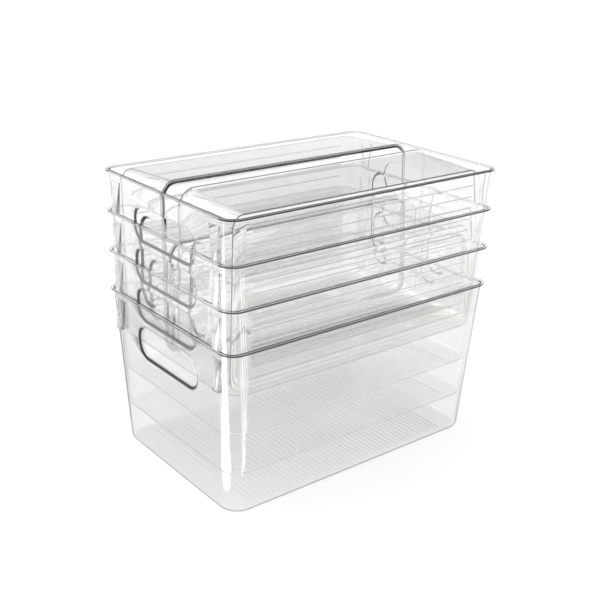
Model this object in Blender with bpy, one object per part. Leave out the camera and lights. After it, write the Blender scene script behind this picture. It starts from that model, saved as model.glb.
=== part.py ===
"""Set of eight clear storage bins for a refrigerator, packed as one stack.

Four deep bins nest in each other.  The top one holds two wide shallow bins
lying on their long sides, mouth to mouth, and each of those holds one narrow
shallow bin.  Metres, +Z up, the long front of the stack faces -Y.
"""

import math

import bmesh
import bpy
from mathutils import Matrix, Vector

MM = 0.001

# ---- deep bin, upright, origin at the middle of its underside (mm) ----
DEEP_HEIGHT = 160.3
DEEP_STEP = 38.7              # height of one nested bin above the next
DEEP_COUNT = 4
DEEP_BASE = (148.5, 96.0)     # half sizes of the sharp base outline
DEEP_TOP = (154.9, 102.4)     # half sizes of the wall at the rim
DEEP_BASE_RADIUS = 20.0       # upright corner radius at the base
DEEP_TOP_RADIUS = 12.0
DEEP_FILLET = 4.0             # round between underside and walls
DEEP_WALL = 1.2
DEEP_FLOOR = 1.3
DEEP_OVERHANG = 2.6           # flange beyond the wall
DEEP_FLANGE = 2.0             # flange thickness

DEEP_SLOT = (97.0, 30.0, 13.0, 122.0)   # length, height, corner radius, centre height
DEEP_RIBS = (45, 5.45, 86.0)  # floor ribs across the bin: count, pitch, half length
LUG_TOP = 152.0               # stacking lug under the flange of a short wall
LUG_GAP = 0.3                 # foot of the lug above the rim it stands over
LUG_SPAN_TOP = (73.0, 89.0)   # from the middle of the wall, along Y
LUG_SPAN_FOOT = (78.0, 88.0)
LUG_FACE_TOP = 155.6          # outer face, along X
LUG_FACE_FOOT = 156.8
LUG_DRAFT = 1.0               # each flank leans this much toward the face

# ---- wide shallow bin, in its own upright frame (mm) ----
WIDE_HEIGHT = 83.5
WIDE_BASE = (143.1, 78.6)
WIDE_TOP = (144.0, 79.4)
WIDE_BASE_RADIUS = 11.0
WIDE_TOP_RADIUS = 13.0
WIDE_SLOT = (82.0, 25.0, 12.4, 52.5)
WIDE_EDGE = (-92.5, 118.1)    # where its lower base edge stands: Y, Z
WIDE_RIBS = (13, 10.95, 128.0)   # floor ribs along the bin

# ---- narrow shallow bin, in its own upright frame (mm) ----
NARROW_HEIGHT = 84.0
NARROW_BASE = (138.0, 49.8)
NARROW_TOP = (141.0, 51.4)
NARROW_BASE_RADIUS = 11.0
NARROW_TOP_RADIUS = 13.0
NARROW_SLOT = (52.0, 23.0, 11.4, 54.0)
NARROW_EDGE = (-88.0, 120.5)
NARROW_TILT = math.radians(2.3)
NARROW_RIBS = (9, 10.7, 124.0)

SHALLOW_FILLET = 8.0
SHALLOW_WALL = 1.8
SHALLOW_OVERHANG = 2.0
SHALLOW_FLANGE = 2.0

# ---- shared by all bins (mm) ----
RIB_HEIGHT = 0.4
RIB_WIDTH = 1.4
RIB_ROOT = 0.25               # depth of a rib's root in the floor
EDGE_BREAK = 0.4              # chamfer on the flange edge
LEAST_RADIUS = 1.0            # of the hollow's upright corners
CUTTER_MARGIN = 10.0          # a cutter stands out of the wall by this much
MERGE = 0.0005
CORNER_STEPS = 5              # facets of one upright corner
FILLET_STEPS = 3
SHARP_ANGLE = math.radians(35.0)

# ---- clear plastic ----
PLASTIC_IOR = 1.57
PLASTIC_ROUGHNESS = 0.04
DEEP_TINT = (0.93, 0.94, 0.94)
WIDE_TINT = (0.92, 0.93, 0.93)
NARROW_TINT = (0.91, 0.92, 0.92)


def clear_scene():
    for item in list(bpy.data.objects):
        bpy.data.objects.remove(item)


def outline(half_x, half_y, radius, steps=CORNER_STEPS):
    """Corner points of a rounded rectangle, counter-clockwise."""
    points = []
    quarters = ((1, 1, 0.0), (-1, 1, 90.0), (-1, -1, 180.0), (1, -1, 270.0))
    for side_x, side_y, start in quarters:
        centre_x = side_x * (half_x - radius)
        centre_y = side_y * (half_y - radius)
        for step in range(steps + 1):
            angle = math.radians(start + 90.0 * step / steps)
            points.append((centre_x + radius * math.cos(angle),
                           centre_y + radius * math.sin(angle)))
    return points


def moulding_loops(spec):
    """Outlines of the skin: up the outside, over the rim, down the inside."""
    height = spec["height"]

    def ring(level, outset):
        share = level / height
        half_x = spec["base"][0] + share * (spec["top"][0] - spec["base"][0])
        half_y = spec["base"][1] + share * (spec["top"][1] - spec["base"][1])
        radius = spec["radii"][0] + share * (spec["radii"][1] - spec["radii"][0])
        flat = outline(half_x + outset, half_y + outset, max(radius + outset, LEAST_RADIUS))
        return [(x, y, level) for x, y in flat]

    fillet = spec["fillet"]
    wall = spec["wall"]
    reach = spec["overhang"]
    under = height - spec["flange"]
    loops = []
    for step in range(FILLET_STEPS + 1):
        angle = 0.5 * math.pi * step / FILLET_STEPS
        loops.append(ring(fillet * (1 - math.cos(angle)),
                          -fillet * (1 - math.sin(angle))))
    loops.append(ring(under, 0.0))
    loops.append(ring(under, reach))
    loops.append(ring(height - EDGE_BREAK, reach))
    loops.append(ring(height, reach - EDGE_BREAK))
    loops.append(ring(height, -wall))
    inner = fillet - wall
    for step in range(FILLET_STEPS, -1, -1):
        angle = 0.5 * math.pi * step / FILLET_STEPS
        loops.append(ring(spec["floor"] + inner * (1 - math.cos(angle)),
                          -wall - inner * (1 - math.sin(angle))))
    return loops


def mesh_from_loops(name, loops):
    """Closed skin through the loops, capped by its first and last loop."""
    work = bmesh.new()
    rows = [[work.verts.new(point) for point in loop] for loop in loops]
    count = len(loops[0])
    for lower, upper in zip(rows, rows[1:]):
        for i in range(count):
            j = (i + 1) % count
            work.faces.new((lower[i], lower[j], upper[j], upper[i]))
    work.faces.new(list(reversed(rows[0])))
    work.faces.new(rows[-1])
    bmesh.ops.recalc_face_normals(work, faces=work.faces)
    mesh = bpy.data.meshes.new(name)
    work.to_mesh(mesh)
    work.free()
    return mesh


def add_prism(work, near, far):
    """Closed prism between two matching loops of points."""
    first = [work.verts.new(point) for point in near]
    last = [work.verts.new(point) for point in far]
    count = len(first)
    faces = [work.faces.new(list(reversed(first))), work.faces.new(last)]
    for i in range(count):
        j = (i + 1) % count
        faces.append(work.faces.new((first[i], first[j], last[j], last[i])))
    bmesh.ops.recalc_face_normals(work, faces=faces)


def tool_object(name, build):
    work = bmesh.new()
    build(work)
    mesh = bpy.data.meshes.new(name)
    work.to_mesh(mesh)
    work.free()
    item = bpy.data.objects.new(name, mesh)
    item.hide_render = True
    item.display_type = "WIRE"
    bpy.context.scene.collection.objects.link(item)
    return item


def slot_cutter(spec):
    """Two rounded prisms through the short walls."""
    length, height, radius, centre = spec["slot"]
    flat = outline(length / 2, height / 2, radius)
    inside = spec["base"][0] - CUTTER_MARGIN
    outside = spec["top"][0] + CUTTER_MARGIN

    def build(work):
        for side in (1, -1):
            near = [(side * inside, y, centre + z) for y, z in flat]
            far = [(side * outside, y, centre + z) for y, z in flat]
            add_prism(work, near, far)

    return tool_object("slot_cutter", build)


def rib_strips(spec):
    """Low ridges that stiffen the floor."""
    count, pitch, reach, lengthwise = spec["ribs"]
    root = spec["floor"] - RIB_ROOT
    crest = spec["floor"] + RIB_HEIGHT
    half = RIB_WIDTH / 2

    def build(work):
        for index in range(count):
            place = (index - (count - 1) / 2) * pitch
            section = ((place - half, root), (place + half, root), (place, crest))
            if lengthwise:
                near = [(-reach, across, z) for across, z in section]
                far = [(reach, across, z) for across, z in section]
            else:
                near = [(across, -reach, z) for across, z in section]
                far = [(across, reach, z) for across, z in section]
            add_prism(work, near, far)

    return tool_object("rib_strips", build)


def deep_wall_x(level):
    return DEEP_BASE[0] + level / DEEP_HEIGHT * (DEEP_TOP[0] - DEEP_BASE[0])


def stacking_lugs():
    """Four lugs that carry the bin on the rim of the one below."""
    foot = DEEP_HEIGHT - DEEP_STEP + LUG_GAP
    sink = DEEP_WALL / 2

    def corner_row(level, face, span, side_x, side_y):
        root = deep_wall_x(level) - sink
        return [(side_x * root, side_y * span[0], level),
                (side_x * face, side_y * (span[0] + LUG_DRAFT), level),
                (side_x * face, side_y * (span[1] - LUG_DRAFT), level),
                (side_x * root, side_y * span[1], level)]

    def build(work):
        for side_x in (1, -1):
            for side_y in (1, -1):
                add_prism(work,
                          corner_row(foot, LUG_FACE_FOOT, LUG_SPAN_FOOT, side_x, side_y),
                          corner_row(LUG_TOP, LUG_FACE_TOP, LUG_SPAN_TOP, side_x, side_y))

    return tool_object("stacking_lugs", build)


def combine(mesh, steps):
    """Apply boolean steps to a mesh and return the finished mesh."""
    body = bpy.data.objects.new("body", mesh)
    bpy.context.scene.collection.objects.link(body)
    for operation, tool in steps:
        change = body.modifiers.new(operation.lower(), "BOOLEAN")
        change.operation = operation
        change.solver = "EXACT"
        change.object = tool
    graph = bpy.context.evaluated_depsgraph_get()
    finished = bpy.data.meshes.new_from_object(body.evaluated_get(graph))
    bpy.data.objects.remove(body)
    for _, tool in steps:
        bpy.data.objects.remove(tool)
    return finished


def clean(mesh):
    work = bmesh.new()
    work.from_mesh(mesh)
    bmesh.ops.remove_doubles(work, verts=work.verts, dist=MERGE)
    bmesh.ops.dissolve_degenerate(work, edges=work.edges, dist=MERGE)
    bmesh.ops.triangulate(work, faces=work.faces)
    bmesh.ops.recalc_face_normals(work, faces=work.faces)
    work.to_mesh(mesh)
    work.free()


def deep_mesh():
    spec = {
        "height": DEEP_HEIGHT, "base": DEEP_BASE, "top": DEEP_TOP,
        "radii": (DEEP_BASE_RADIUS, DEEP_TOP_RADIUS), "fillet": DEEP_FILLET,
        "wall": DEEP_WALL, "floor": DEEP_FLOOR, "overhang": DEEP_OVERHANG,
        "flange": DEEP_FLANGE, "slot": DEEP_SLOT,
        "ribs": DEEP_RIBS + (False,),
    }
    blank = mesh_from_loops("deep_bin", moulding_loops(spec))
    mesh = combine(blank, (("DIFFERENCE", slot_cutter(spec)),
                           ("UNION", stacking_lugs()),
                           ("UNION", rib_strips(spec))))
    clean(mesh)
    return mesh


def shallow_mesh(name, height, base, top, radii, slot, ribs):
    spec = {
        "height": height, "base": base, "top": top, "radii": radii,
        "fillet": SHALLOW_FILLET, "wall": SHALLOW_WALL, "floor": SHALLOW_WALL,
        "overhang": SHALLOW_OVERHANG, "flange": SHALLOW_FLANGE, "slot": slot,
        "ribs": ribs + (True,),
    }
    blank = mesh_from_loops(name, moulding_loops(spec))
    mesh = combine(blank, (("DIFFERENCE", slot_cutter(spec)),
                           ("UNION", rib_strips(spec))))
    clean(mesh)
    return mesh


def clear_plastic(name, tint):
    material = bpy.data.materials.new(name)
    material.use_nodes = True
    shader = material.node_tree.nodes["Principled BSDF"]
    shader.inputs["Base Color"].default_value = (*tint, 1.0)
    shader.inputs["Roughness"].default_value = PLASTIC_ROUGHNESS
    shader.inputs["IOR"].default_value = PLASTIC_IOR
    shader.inputs["Transmission Weight"].default_value = 1.0
    return material


def place(name, mesh, matrix, origin, tint):
    """Object whose mesh holds the orientation; only its origin is moved."""
    own = mesh.copy()
    own.name = name
    own.transform(Matrix.Scale(MM, 4) @ Matrix.Translation(-Vector(origin)) @ matrix)
    own.materials.clear()
    own.materials.append(clear_plastic(name + "_plastic", tint))
    own.shade_smooth()
    own.set_sharp_from_angle(angle=SHARP_ANGLE)
    item = bpy.data.objects.new(name, own)
    item.location = Vector(origin) * MM
    bpy.context.scene.collection.objects.link(item)
    return item


def lying(edge, tilt, half_width):
    """Upright frame to a bin on its long side, its mouth toward +Y."""
    turn = Matrix.Rotation(-(0.5 * math.pi - tilt), 4, "X")
    centre_y = edge[0] - half_width * math.sin(tilt)
    centre_z = edge[1] + half_width * math.cos(tilt)
    return Matrix.Translation((0.0, centre_y, centre_z)) @ turn


def build():
    clear_scene()

    deep = deep_mesh()
    for index in range(DEEP_COUNT):
        origin = (0.0, 0.0, index * DEEP_STEP)
        place("deep_bin_%d" % (index + 1), deep, Matrix.Translation(origin), origin,
              DEEP_TINT)

    wide = shallow_mesh("wide_bin", WIDE_HEIGHT, WIDE_BASE, WIDE_TOP,
                        (WIDE_BASE_RADIUS, WIDE_TOP_RADIUS), WIDE_SLOT, WIDE_RIBS)
    narrow = shallow_mesh("narrow_bin", NARROW_HEIGHT, NARROW_BASE, NARROW_TOP,
                          (NARROW_BASE_RADIUS, NARROW_TOP_RADIUS), NARROW_SLOT,
                          NARROW_RIBS)
    half_turn = Matrix.Rotation(math.pi, 4, "Z")
    wide_tilt = math.atan((WIDE_TOP[1] + SHALLOW_OVERHANG - WIDE_BASE[1]) / WIDE_HEIGHT)
    wide_front = lying(WIDE_EDGE, wide_tilt, WIDE_BASE[1])
    narrow_front = lying(NARROW_EDGE, NARROW_TILT, NARROW_BASE[1])
    wide_origin = (0.0, WIDE_EDGE[0], WIDE_EDGE[1])
    narrow_origin = (0.0, NARROW_EDGE[0], NARROW_EDGE[1])
    back = Vector((-1.0, -1.0, 1.0))
    place("wide_bin_front", wide, wide_front, wide_origin, WIDE_TINT)
    place("wide_bin_rear", wide, half_turn @ wide_front,
          Vector(wide_origin) * back, WIDE_TINT)
    place("narrow_bin_front", narrow, narrow_front, narrow_origin, NARROW_TINT)
    place("narrow_bin_rear", narrow, half_turn @ narrow_front,
          Vector(narrow_origin) * back, NARROW_TINT)


build()
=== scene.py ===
"""Clear refrigerator bins, nested in a stack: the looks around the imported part.

Each bin is one clear moulding.  Its skin is lofted through rounded outlines, up
the outside, over the rim and down the inside, and its hand slots, stacking lugs
and floor ribs are let into the flat panels of that skin.  A bin is shaped in its
own upright frame in millimetres, and then seated on the box of its CAD node.
"""

import math

import bmesh
import bpy
from mathutils import Matrix, Vector
from mathutils.geometry import tessellate_polygon


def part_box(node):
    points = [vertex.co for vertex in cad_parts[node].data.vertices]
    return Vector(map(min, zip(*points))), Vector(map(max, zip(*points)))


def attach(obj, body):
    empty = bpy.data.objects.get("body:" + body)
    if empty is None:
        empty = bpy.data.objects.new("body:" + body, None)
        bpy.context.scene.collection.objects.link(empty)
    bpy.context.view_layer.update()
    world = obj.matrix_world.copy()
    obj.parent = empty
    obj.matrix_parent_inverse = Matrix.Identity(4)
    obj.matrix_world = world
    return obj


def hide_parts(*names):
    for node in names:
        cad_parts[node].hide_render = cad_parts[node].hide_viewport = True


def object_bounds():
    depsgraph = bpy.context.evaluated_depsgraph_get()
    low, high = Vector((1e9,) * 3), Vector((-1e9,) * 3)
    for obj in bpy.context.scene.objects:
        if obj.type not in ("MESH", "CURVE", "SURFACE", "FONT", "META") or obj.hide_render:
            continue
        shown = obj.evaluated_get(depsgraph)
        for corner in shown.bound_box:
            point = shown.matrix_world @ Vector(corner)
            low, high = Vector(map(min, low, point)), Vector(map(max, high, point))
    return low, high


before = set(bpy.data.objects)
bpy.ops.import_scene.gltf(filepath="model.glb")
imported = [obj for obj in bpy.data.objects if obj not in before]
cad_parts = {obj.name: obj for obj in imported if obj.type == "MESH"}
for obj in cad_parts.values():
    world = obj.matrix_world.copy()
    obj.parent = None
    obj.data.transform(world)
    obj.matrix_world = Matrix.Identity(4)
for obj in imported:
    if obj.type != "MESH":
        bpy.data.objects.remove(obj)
cad_low, cad_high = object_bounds()

MM = 0.001

# ---- how finely curves are drawn ----
CORNER_STEPS = 12
FILLET_STEPS = 8
ROUND_STEPS = 3
SHARP_ANGLE = math.radians(30.5)

# ---- the three mouldings, upright, origin at the middle of the underside (mm) ----
# base, top: half sizes of the outer wall there; radii: its corners at base and top
# overhang, flange: how far the rim stands out, and how thick it is
# slot: length, height, corner radius, level of its middle
# ribs: count, pitch, half length, height, whether they run along the bin
# and last, painted shade for how dark a part looks edge-on, as (most of it, its paler
# stretches)
DEEP = {
    "height": 160.3, "base": (148.5, 96.0), "top": (154.9, 102.4),
    "radii": (20.0, 12.0), "fillet": 4.0, "wall": 1.2, "floor": 1.3,
    "overhang": 2.6, "flange": 1.5,
    "slot": (97.0, 30.0, 13.0, 122.0),
    "ribs": (45, 5.45, 86.0, 0.2, False),
    "painted_shade": {"edge": (1.0, 0.25), "mouth": (0.0, 0.0), "fillet": (0.0, 0.0),
              "slot": (0.9, 0.2), "ribs": 0.0},
}
WIDE = {
    "height": 83.5, "base": (143.1, 78.6), "top": (144.0, 79.4),
    "radii": (11.0, 13.0), "fillet": 8.0, "wall": 1.8, "floor": 1.8,
    "overhang": 2.0, "flange": 2.0,
    "slot": (82.0, 25.0, 12.4, 52.5),
    "ribs": (13, 10.95, 128.0, 0.4, True),
    "painted_shade": {"edge": (0.75, 0.3), "mouth": (0.6, 0.2), "fillet": (0.9, 0.8),
              "slot": (0.35, 0.1), "ribs": 0.3},
}
NARROW = {
    "height": 84.0, "base": (138.0, 49.8), "top": (141.0, 51.4),
    "radii": (11.0, 13.0), "fillet": 8.0, "wall": 1.8, "floor": 1.8,
    "overhang": 2.0, "flange": 2.0,
    "slot": (52.0, 23.0, 11.4, 54.0),
    "ribs": (9, 10.7, 124.0, 0.4, True),
    "painted_shade": {"edge": (0.2, 0.1), "mouth": (0.25, 0.1), "fillet": (0.25, 0.1),
              "slot": (0.25, 0.1), "ribs": 0.1},
}
NARROW_TILT = math.radians(2.3)

# stacking lugs of the deep bin (mm)
LUG_LEVELS = (121.9, 152.0)          # foot, top
LUG_SPANS = ((78.0, 88.0), (73.0, 89.0))
LUG_FACES = (156.8, 154.75)
LUG_DRAFT = 1.0
LUG_SHOULDER = 0.25                  # where the rounding of a lug's face starts
LUG_ROUND = 0.15
LUG_PAINTED_SHADES = (0.8, 0.0, 0.0, 0.6)     # painted shade on the foot, outer flank, top, inner flank

RIB_HALF_WIDTH = 0.7
RIB_STEPS = ((0.0, 0.0), (0.22, 0.6), (0.5, 0.92), (0.62, 1.0))  # inset, height share
RIM_ROUND = 0.3
LIP = 2.8                            # a hand slot widens by this much toward the outside
# faces of a slot's edge along its top, from the middle of one corner to the next, where its
# painted shade is paler
SLOT_TOP = range(CORNER_STEPS // 2, CORNER_STEPS + CORNER_STEPS // 2 + 1)


# ---- shape of a moulding ----
def outline(half_x, half_y, radius, steps=CORNER_STEPS):
    """Corner points of a rounded rectangle, counter-clockwise from +X."""
    points = []
    quarters = ((1, 1, 0.0), (-1, 1, 90.0), (-1, -1, 180.0), (1, -1, 270.0))
    for side_x, side_y, start in quarters:
        for step in range(steps + 1):
            angle = math.radians(start + 90.0 * step / steps)
            points.append((side_x * (half_x - radius) + radius * math.cos(angle),
                           side_y * (half_y - radius) + radius * math.sin(angle)))
    return points


def half_size(spec, level, axis):
    share = level / spec["height"]
    return spec["base"][axis] + share * (spec["top"][axis] - spec["base"][axis])


def arc(centre_level, centre_outset, radius, start, end, steps):
    """(level, outset) pairs along an arc; 0 degrees points out, 90 up."""
    pairs = []
    for step in range(steps + 1):
        angle = math.radians(start + (end - start) * step / steps)
        pairs.append((centre_level + radius * math.sin(angle),
                      centre_outset + radius * math.cos(angle)))
    return pairs


def profile(spec):
    """Section of the skin as (level, outset), and where its faces start."""
    height, wall, reach = spec["height"], spec["wall"], spec["overhang"]
    fillet, floor = spec["fillet"], spec["floor"]
    under = height - spec["flange"]
    inner = fillet - wall
    soft = RIM_ROUND
    starts = {}
    section = arc(fillet, -fillet, fillet, -90, 0, FILLET_STEPS)
    starts["outer wall"] = len(section) - 1
    section += arc(under - soft, soft, soft, 180, 90, ROUND_STEPS)
    starts["edge"] = len(section)
    section += arc(under + soft, reach - soft, soft, -90, 0, ROUND_STEPS)
    section += arc(height - soft, reach - soft, soft, 0, 90, ROUND_STEPS)
    starts["mouth"] = len(section) - 1
    section += arc(height - soft, soft - wall, soft, 90, 180, ROUND_STEPS)
    starts["inner wall"] = len(section) - 1
    section += arc(floor + inner, -wall - inner, inner, 0, -90, FILLET_STEPS)
    return section, starts


class Skin:
    """A moulding's surface while it is put together."""

    def __init__(self):
        self.work = bmesh.new()
        # painted shade on faces, seen from outside only
        self.painted_shade = self.work.faces.layers.float.new("painted_shade")
        # painted shade on faces, seen from both sides
        self.two_way_shade = self.work.faces.layers.float.new("two_way_shade")

    def face(self, verts, painted_shade=0.0, two_way_shade=0.0):
        face = self.work.faces.new(verts)
        face[self.painted_shade] = painted_shade
        face[self.two_way_shade] = two_way_shade

    def loop(self, points):
        return [self.work.verts.new(point) for point in points]

    def strip(self, lower, upper, skip=(), painted_shade=(0.0, 0.0), paler=()):
        """Band between two loops, with painted shade as (most faces, the paler ones)."""
        count = len(lower)
        for i in range(count):
            j = (i + 1) % count
            if i not in skip:
                self.face((lower[i], lower[j], upper[j], upper[i]), painted_shade[i in paler])

    def panel(self, border, holes=()):
        """Flat face inside the border, left open at the holes."""
        loops = [border, *holes]
        verts = [vert for loop in loops for vert in loop]
        for triangle in tessellate_polygon([[vert.co for vert in loop] for loop in loops]):
            self.face([verts[i] for i in triangle])

    def raised(self, rings, two_way_shades):
        """Boss from a four-cornered footprint ring up to its capped last ring, with painted
        shade on each side.
        """
        rows = [self.loop(ring) for ring in rings]
        for lower, upper in zip(rows, rows[1:]):
            for i, two_way_shade in enumerate(two_way_shades):
                j = (i + 1) % len(two_way_shades)
                self.face((lower[i], lower[j], upper[j], upper[i]), two_way_shade=two_way_shade)
        self.face(rows[-1])
        return rows[0]

    def mesh(self, name):
        bmesh.ops.recalc_face_normals(self.work, faces=self.work.faces)
        mesh = bpy.data.meshes.new(name)
        self.work.to_mesh(mesh)
        self.work.free()
        mesh.shade_smooth()
        mesh.set_sharp_from_angle(angle=SHARP_ANGLE)
        return mesh


def slot_ring(spec, side, grown, across):
    """Outline of the hand slot on a short wall, grown by so much, and so far across
    the wall from its outer face."""
    length, height, radius, centre = spec["slot"]
    flat = outline(length / 2 + grown, height / 2 + grown, radius + grown)
    return [(side * (half_size(spec, centre + z, 0) - across), y, centre + z)
            for y, z in flat]


def rib_rings(spec):
    """Footprint and crest rings of every floor rib."""
    count, pitch, reach, rise, lengthwise = spec["ribs"]
    for index in range(count):
        place = (index - (count - 1) / 2) * pitch
        rings = []
        for inset, share in RIB_STEPS:
            half, end = RIB_HALF_WIDTH - inset, reach - inset
            flat = ((place - half, -end), (place + half, -end),
                    (place + half, end), (place - half, end))
            if lengthwise:
                flat = [(along, across) for across, along in flat]
            rings.append([(x, y, spec["floor"] + share * rise) for x, y in flat])
        yield rings


def lug_rings(spec, side_x, side_y):
    """Rings of one stacking lug, from the wall out to its face."""
    corners = ((0, 0, 1), (0, 1, -1), (1, 1, -1), (1, 0, 1))

    def ring(inset, sunk):
        points = []
        for end, edge, inward in corners:
            level = LUG_LEVELS[end] + (inset if end == 0 else -inset)
            draft = LUG_DRAFT if sunk < 1 else 0.0
            y = LUG_SPANS[end][edge] + inward * (inset + draft)
            wall = half_size(spec, level, 0)
            x = LUG_FACES[end] + sunk * (wall - LUG_FACES[end])
            points.append((side_x * x, side_y * y, level))
        return points

    return [ring(0.0, 1.0), ring(0.0, LUG_SHOULDER), ring(LUG_ROUND, 0.0)]


def moulding(name, spec, lugs):
    """Mesh of one bin in its own upright frame, in millimetres."""
    skin = Skin()
    section, starts = profile(spec)
    rows = []
    for level, outset in section:
        share = level / spec["height"]
        radius = spec["radii"][0] + share * (spec["radii"][1] - spec["radii"][0])
        flat = outline(half_size(spec, level, 0) + outset,
                       half_size(spec, level, 1) + outset, radius + outset)
        rows.append(skin.loop([(x, y, level) for x, y in flat]))
    count = len(rows[0])
    flat_ends = {1: count - 1, -1: count // 2 - 1}      # where each short wall starts
    walls = (starts["outer wall"], starts["inner wall"])
    for index, (lower, upper) in enumerate(zip(rows, rows[1:])):
        # painted shade on the faces of the rim edge, the mouth and the base fillet
        painted_shade = (0.0, 0.0)
        if starts["edge"] <= index < starts["mouth"]:
            painted_shade = spec["painted_shade"]["edge"]
        elif starts["mouth"] <= index < starts["inner wall"]:
            painted_shade = spec["painted_shade"]["mouth"]
        elif index == starts["outer wall"] - 1:
            painted_shade = spec["painted_shade"]["fillet"]
        left_open = flat_ends.values() if index in walls else ()
        skin.strip(lower, upper, left_open, painted_shade, paler=flat_ends.values())

    for side, start in flat_ends.items():
        end = (start + 1) % count
        slot_outside = skin.loop(slot_ring(spec, side, LIP, 0.0))
        slot_inside = skin.loop(slot_ring(spec, side, 0.0, spec["wall"]))
        # painted shade on the slot's edge, paler along its top
        skin.strip(slot_outside, slot_inside, painted_shade=spec["painted_shade"]["slot"], paler=SLOT_TOP)
        bosses = []
        if lugs:
            bosses = [skin.raised(lug_rings(spec, side, side_y), LUG_PAINTED_SHADES)
                      for side_y in (1, -1)]
        for row, holes in ((walls[0], [slot_outside, *bosses]),
                           (walls[1], [slot_inside])):
            lower, upper = rows[row], rows[row + 1]
            skin.panel([lower[start], lower[end], upper[end], upper[start]], holes)

    skin.panel(rows[0])
    # painted shade on the floor ribs, seen from both sides
    skin.panel(rows[-1], [skin.raised(rings, (spec["painted_shade"]["ribs"],) * 4)
                          for rings in rib_rings(spec)])
    return skin.mesh(name)


def lying(tilt):
    """Upright frame to a bin on its long side, its mouth toward +Y."""
    return Matrix.Rotation(-(0.5 * math.pi - tilt), 4, "X")


def seat(mesh, turn, node, seed):
    """Piece that stands for a CAD node: turned, scaled and put on the node's box."""
    own = mesh.copy()
    own.name = node + "_clear"
    own.transform(Matrix.Scale(MM, 4) @ turn)
    low = Vector([min(vert.co[i] for vert in own.vertices) for i in range(3)])
    high = Vector([max(vert.co[i] for vert in own.vertices) for i in range(3)])
    node_low, node_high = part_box(node)
    own.transform(Matrix.Translation((node_low + node_high - low - high) / 2))
    # the bin's reflections are dimmed by its own share, as painted shade
    own.materials.append(clear_plastic(own.name, REFLECTION_SHADE[node], seed))
    piece = bpy.data.objects.new(own.name, own)
    bpy.context.scene.collection.objects.link(piece)
    even = piece.modifiers.new("even_normals", "WEIGHTED_NORMAL")
    even.mode = "FACE_AREA"
    even.keep_sharp = True
    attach(piece, node)
    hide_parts(node)
    return piece


# ---- node trees ----
class Nodes:
    """The node tree of a material or world, with short forms for what is used here."""

    def __init__(self, owner):
        owner.use_nodes = True
        self.tree = owner.node_tree

    def put(self, socket, value):
        if isinstance(value, bpy.types.NodeSocket):
            self.tree.links.new(value, socket)
        else:
            socket.default_value = value

    def add(self, kind, inputs=()):
        node = self.tree.nodes.new("ShaderNode" + kind)
        for key, value in dict(inputs).items():
            self.put(node.inputs[key], value)
        return node

    def math(self, operation, *values, clamp=False):
        node = self.add("Math", enumerate(values))
        node.operation = operation
        node.use_clamp = clamp
        return node.outputs["Value"]

    def attribute(self, name):
        node = self.add("Attribute")
        node.attribute_name = name
        return node.outputs["Fac"]

    def noise(self, where, scale, detail):
        node = self.add("TexNoise", {"Vector": where, "Scale": scale, "Detail": detail})
        return node.outputs["Fac"]

    def spread(self, source, start, end):
        """Source carried over from one (low, high) range to another."""
        node = self.add("MapRange", {"Value": source,
                                     "From Min": start[0], "From Max": start[1],
                                     "To Min": end[0], "To Max": end[1]})
        return node.outputs["Result"]

    def blend(self, share, first, second):
        """Colour between two colours."""
        node = self.add("Mix")
        node.data_type = "RGBA"
        for place, value in (("Factor", share), (6, first), (7, second)):
            self.put(node.inputs[place], value)
        return node.outputs[2]

    def either_shader(self, share, first, second):
        return self.add("MixShader", {"Fac": share, 1: first, 2: second}).outputs["Shader"]


def opaque(colour, strength=1.0):
    return (*(strength * part for part in colour), 1.0)


# ---- clear plastic ----
IOR = 1.57
CLEAR = (0.9998, 0.9993, 0.9983)
CLOUDY = 0.9985
PAINTED_SHADE_COLOUR = (0.05, 0.047, 0.044)         # painted shade colour, where the eye looks into the plastic edge-on
EDGE_BLUR = 0.4                      # how rough the faces with the most painted shade are
WARM = (1.0, 0.997, 0.99)
# painted shade on reflections: the share of each bin's reflection that is kept, lowest on
# the lowest bin
REFLECTION_SHADE = {"deep_bin_1": 0.64, "deep_bin_2": 0.96, "deep_bin_3": 0.94, "deep_bin_4": 0.8,
            "wide_bin_front": 0.97, "wide_bin_rear": 0.95,
            "narrow_bin_front": 1.0, "narrow_bin_rear": 1.0}

FLOW_MARKS = (9.0, 3.0)              # scale and detail of the noise
FLOW_RANGE = (0.35, 0.65)
HAZE_RANGE = (0.45, 0.75)
HAZE = 0.006
GRAIN = (420.0, 2.0)
GRAIN_HEIGHT = 0.15
BUMP = {"Strength": 0.012, "Distance": 0.0002}
SEED_SLANT = 0.37
SHARE_OF_LIGHT = 0.98                # of lamplight, that goes through a wall


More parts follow.
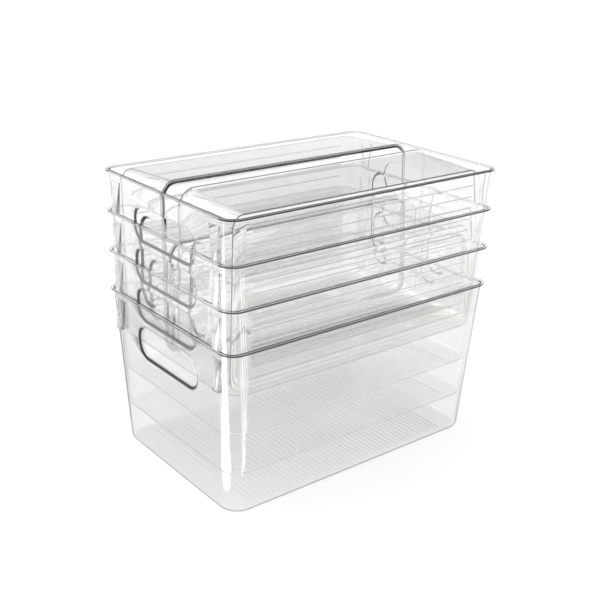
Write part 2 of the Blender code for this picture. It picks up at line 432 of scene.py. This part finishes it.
def clear_plastic(name, reflection_shade, seed):
    """Clear moulded plastic with faint flow marks and a little haze, painted shade on its
    edges, and reflections dimmed as painted shade.
    """
    material = bpy.data.materials.new(name)
    nodes = Nodes(material)
    nodes.tree.nodes.remove(nodes.tree.nodes["Principled BSDF"])

    where = nodes.add("Mapping", {"Vector": nodes.add("TexCoord").outputs["Object"],
                                  "Location": (seed, SEED_SLANT * seed, 0.0)})
    flow = nodes.noise(where.outputs["Vector"], *FLOW_MARKS)
    grain = nodes.noise(where.outputs["Vector"], *GRAIN)
    body = nodes.blend(nodes.spread(flow, FLOW_RANGE, (0.0, 1.0)),
                       opaque(CLEAR), opaque(CLEAR, CLOUDY))

    # painted shade: edges are darkened from outside only, lug flanks and ribs from both
    # sides
    leaving = nodes.add("NewGeometry").outputs["Backfacing"]
    painted_shade = nodes.math("SUBTRACT", nodes.attribute("painted_shade"), leaving, clamp=True)
    darkness = nodes.math("MAXIMUM", painted_shade, nodes.attribute("two_way_shade"))
    haze = nodes.spread(flow, HAZE_RANGE, (0.0, HAZE))
    roughness = nodes.math("MULTIPLY_ADD", darkness, EDGE_BLUR, haze)
    height = nodes.spread(grain, (0.0, 1.0), (0.0, GRAIN_HEIGHT))
    normal = nodes.add("Bump", {"Height": height, **BUMP}).outputs["Normal"]

    finish = {"Roughness": roughness, "Normal": normal}
    bent = nodes.add("BsdfRefraction", {"Color": nodes.blend(darkness, body, opaque(PAINTED_SHADE_COLOUR)),
                                        "IOR": IOR, **finish})
    # reflections dimmed per bin, as painted shade
    mirrored = nodes.add("BsdfGlossy", {"Color": opaque(WARM, reflection_shade), **finish})
    share = nodes.add("Fresnel", {"IOR": IOR, "Normal": normal})
    surface = nodes.either_shader(share.outputs["Fac"],
                                  bent.outputs["BSDF"], mirrored.outputs["BSDF"])

    # light from the lamps and off the floor goes straight through
    path = nodes.add("LightPath")
    straight = nodes.math("MAXIMUM", path.outputs["Is Shadow Ray"],
                          path.outputs["Is Diffuse Ray"])
    passing = nodes.add("BsdfTransparent", {"Color": opaque((SHARE_OF_LIGHT,) * 3)})
    choice = nodes.either_shader(straight, surface, passing.outputs["BSDF"])
    nodes.put(nodes.tree.nodes["Material Output"].inputs["Surface"], choice)
    return material


# ---- the bins ----
# what shifts the flow marks of each shallow bin; a deep bin uses its number
SHALLOW_SEEDS = {"wide_bin_front": 16, "wide_bin_rear": 15,
                 "narrow_bin_front": 22, "narrow_bin_rear": 21}


def build_bins():
    deep = moulding("deep_bin", DEEP, lugs=True)
    wide = moulding("wide_bin", WIDE, lugs=False)
    narrow = moulding("narrow_bin", NARROW, lugs=False)
    for number in range(1, 5):
        seat(deep, Matrix.Identity(4), "deep_bin_%d" % number, number)

    wide_tilt = math.atan((WIDE["top"][1] + WIDE["overhang"] - WIDE["base"][1])
                          / WIDE["height"])
    half_turn = Matrix.Rotation(math.pi, 4, "Z")
    for mesh, tilt, size in ((wide, wide_tilt, "wide"), (narrow, NARROW_TILT, "narrow")):
        front = lying(tilt)
        for end, turn in (("front", front), ("rear", half_turn @ front)):
            node = "%s_bin_%s" % (size, end)
            seat(mesh, turn, node, SHALLOW_SEEDS[node])


# ---- studio ----
FLOOR_DROP = 0.0004
FLOOR_REACH = 14.0
FLOOR_SIDES = 96
FLOOR_ROUGHNESS = 0.9
FLOOR_NOISE = 3.0
FLOOR_SHADES = (0.93, 0.95)


def floor():
    work = bmesh.new()
    bmesh.ops.create_circle(work, cap_ends=True, segments=FLOOR_SIDES, radius=FLOOR_REACH)
    mesh = bpy.data.meshes.new("studio_floor")
    work.to_mesh(mesh)
    work.free()
    item = bpy.data.objects.new("studio_floor", mesh)
    item.location.z = -FLOOR_DROP
    bpy.context.scene.collection.objects.link(item)
    paint = bpy.data.materials.new("studio_floor_paint")
    nodes = Nodes(paint)
    shader = nodes.tree.nodes["Principled BSDF"]
    nodes.put(shader.inputs["Roughness"], FLOOR_ROUGHNESS)
    nodes.put(shader.inputs["Specular IOR Level"], 0.0)
    patches = nodes.add("TexNoise", {"Scale": FLOOR_NOISE}).outputs["Fac"]
    ramp = nodes.add("ValToRGB", {"Fac": patches})
    for element, shade in zip(ramp.color_ramp.elements, FLOOR_SHADES):
        element.color = opaque((shade,) * 3)
    nodes.put(shader.inputs["Base Color"], ramp.outputs["Color"])
    mesh.materials.append(paint)


WORLD_LIGHT = 1.0
DARK_LIGHT = 0.4                     # unlit room beyond the sweep
DARK_BEARING = (0.625, 0.78, 0.0)    # its middle, seen from above
DARK_SPREAD = (0.2, 0.6)             # it begins, and is full, this far toward its middle
DARK_LEVELS = ((0.12, 0.0), (0.22, 1.0), (0.5, 1.0), (0.75, 0.25), (1.0, 0.1))


def surroundings():
    """Pale all round, with the unlit room beyond on one side."""
    world = bpy.data.worlds.new("studio")
    bpy.context.scene.world = world
    nodes = Nodes(world)
    direction = nodes.add("TexCoord").outputs["Generated"]
    height = nodes.add("SeparateXYZ", {"Vector": direction}).outputs["Z"]
    levels = nodes.add("ValToRGB", {"Fac": height})
    elements = levels.color_ramp.elements
    while len(elements) < len(DARK_LEVELS):
        elements.new(0.5)
    for element, (place, value) in zip(elements, DARK_LEVELS):
        element.position = place
        element.color = opaque((value,) * 3)

    facing = nodes.add("VectorMath", {0: direction, 1: DARK_BEARING})
    facing.operation = "DOT_PRODUCT"
    side = nodes.spread(facing.outputs["Value"], DARK_SPREAD, (0.0, 1.0))
    share = nodes.math("MULTIPLY", levels.outputs["Color"], side)
    light = nodes.blend(share, opaque((WORLD_LIGHT,) * 3), opaque((DARK_LIGHT,) * 3))
    nodes.put(nodes.tree.nodes["Background"].inputs["Color"], light)


OVERHEAD = (-12.0, -18.0, 0.0)       # turn of the lamp, in degrees
REAR_LEFT = Vector((-0.35, 0.73, 0.56))
# name, bearing in degrees, near and far end, width, brightness
CARDS = (("card_left", 152.0, (0.02, 0.78), 0.17, 3.0),
         ("card_front", -67.3, (0.04, 0.64), 0.04, 3.0))
CARD_LIFT = 0.001


def distant(name, energy, angle, turn):
    lamp = bpy.data.lights.new(name, "SUN")
    lamp.energy = energy
    lamp.angle = math.radians(angle)
    item = bpy.data.objects.new(name, lamp)
    item.rotation_euler = turn
    bpy.context.scene.collection.objects.link(item)


def low_card(name, corner, bearing, reach, width, brightness):
    """Bright oval on the floor, outward from a corner of the stack, which the upright
    edges there mirror as pale streaks."""
    length = reach[1] - reach[0]
    lamp = bpy.data.lights.new(name, "AREA")
    lamp.shape = "ELLIPSE"
    lamp.size, lamp.size_y = length, width
    area = 0.25 * math.pi * length * width
    lamp.energy = brightness * math.pi * area
    item = bpy.data.objects.new(name, lamp)
    turn = math.radians(bearing)
    middle = 0.5 * (reach[0] + reach[1])
    item.location = corner + Vector((middle * math.cos(turn), middle * math.sin(turn),
                                     CARD_LIFT))
    item.rotation_euler = (math.pi, 0.0, turn)
    item.visible_camera = False
    bpy.context.scene.collection.objects.link(item)


def lamps():
    distant("overhead", 0.6, 60.0, [math.radians(part) for part in OVERHEAD])
    distant("rear_left", 0.6, 36.0, REAR_LEFT.to_track_quat("Z", "Y").to_euler())
    corner = Vector((cad_low.x, cad_low.y, 0.0))
    for name, bearing, reach, width, brightness in CARDS:
        low_card(name, corner, bearing, reach, width, brightness)


# ---- camera ----
VIEW_AZIMUTH = math.radians(-38.74)
VIEW_ELEVATION = math.radians(21.47)
VIEW_ROLL = math.radians(1.433)
VIEW_DISTANCE = 0.9846
VIEW_AIM = Vector((0.0039, 0.0056, 0.1403))
VIEW_LENS = 59.3
CLIP_START = 0.01


def camera():
    turn, rise = VIEW_AZIMUTH, VIEW_ELEVATION
    right = Vector((math.cos(turn), math.sin(turn), 0.0))
    back = Vector((math.sin(turn) * math.cos(rise), -math.cos(turn) * math.cos(rise),
                   math.sin(rise)))
    up = back.cross(right)
    level = Matrix((right, up, back)).transposed()
    rolled = level @ Matrix.Rotation(VIEW_ROLL, 3, "Z")
    data = bpy.data.cameras.new("camera")
    data.lens = VIEW_LENS
    data.clip_start = CLIP_START
    item = bpy.data.objects.new("camera", data)
    place = VIEW_AIM + back * VIEW_DISTANCE
    item.matrix_world = Matrix.Translation(place) @ rolled.to_4x4()
    bpy.context.scene.collection.objects.link(item)
    bpy.context.scene.camera = item


WALLS_DEEP = 40
MIRRORINGS = 12


def light_paths():
    """Enough bounces to see through every wall of the stack."""
    cycles = bpy.context.scene.cycles
    cycles.max_bounces = WALLS_DEEP
    cycles.transmission_bounces = WALLS_DEEP
    cycles.transparent_max_bounces = WALLS_DEEP
    cycles.glossy_bounces = MIRRORINGS
    bpy.context.scene.view_settings.view_transform = "Standard"


camera()
surroundings()
lamps()
floor()
build_bins()
light_paths()
